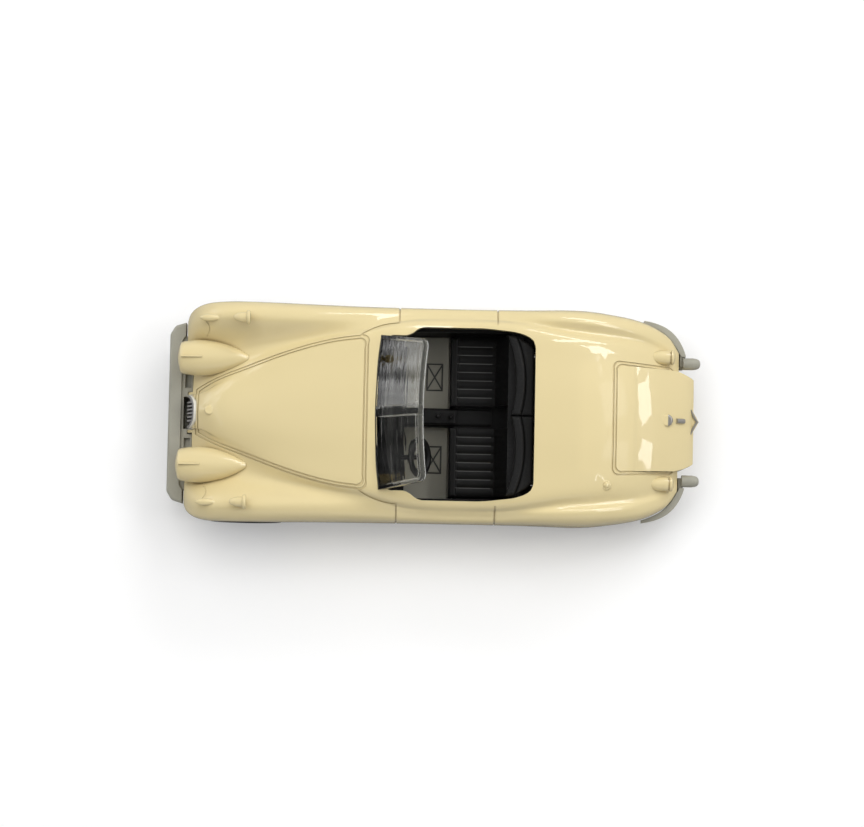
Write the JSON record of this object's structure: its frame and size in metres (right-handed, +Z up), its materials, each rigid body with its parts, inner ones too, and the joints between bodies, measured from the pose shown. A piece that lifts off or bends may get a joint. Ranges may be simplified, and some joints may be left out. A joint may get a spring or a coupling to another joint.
{
  "type": "die-cast toy roadster",
  "caption": "Small die-cast toy car: open two-seat roadster with a hollow body casting, base plate with bumpers, clear windscreen and free-rolling wheels.",
  "frame": {"origin": "on the floor under the middle of the car's box", "axes": "+X forwards, +Y to the car's left, +Z up"},
  "size_m": [0.076, 0.0312, 0.0225],
  "materials": {
    "body_paint": "gloss cream enamel on a zinc casting",
    "base_grey": "satin grey moulding",
    "grille_plate": "bright plated",
    "interior_black": "satin black moulding",
    "steering_black": "gloss black moulding",
    "screen_clear": "clear moulded styrene",
    "axle_steel": "drawn steel wire",
    "hub_metal": "turned, bright",
    "tyre_rubber": "black rubber"
  },
  "bodies": {
    "root": {"body_shell": "body_paint", "base_plate": "base_grey", "grille": "grille_plate", "interior": "interior_black", "steering_wheel": "steering_black", "windscreen": "screen_clear", "axle_front": "axle_steel", "axle_rear": "axle_steel"},
    "wheel_front_left": {"hub_front_left": "hub_metal", "tyre_front_left": "tyre_rubber"},
    "wheel_front_right": {"hub_front_right": "hub_metal", "tyre_front_right": "tyre_rubber"},
    "wheel_rear_left": {"hub_rear_left": "hub_metal", "tyre_rear_left": "tyre_rubber"},
    "wheel_rear_right": {"hub_rear_right": "hub_metal", "tyre_rear_right": "tyre_rubber"}
  },
  "joints": [
    {"name": "spin_front_left", "type": "hinge", "parent": "root", "child": "wheel_front_left", "pos_m": [0.0266, 0.0136, 0.0056], "axis": [0, 1, 0], "continuous": true},
    {"name": "spin_front_right", "type": "hinge", "parent": "root", "child": "wheel_front_right", "pos_m": [0.0266, -0.0136, 0.0056], "axis": [0, 1, 0], "continuous": true},
    {"name": "spin_rear_left", "type": "hinge", "parent": "root", "child": "wheel_rear_left", "pos_m": [-0.0174, 0.0113, 0.0056], "axis": [0, 1, 0], "continuous": true},
    {"name": "spin_rear_right", "type": "hinge", "parent": "root", "child": "wheel_rear_right", "pos_m": [-0.0174, -0.0113, 0.0056], "axis": [0, 1, 0], "continuous": true}
  ]
}
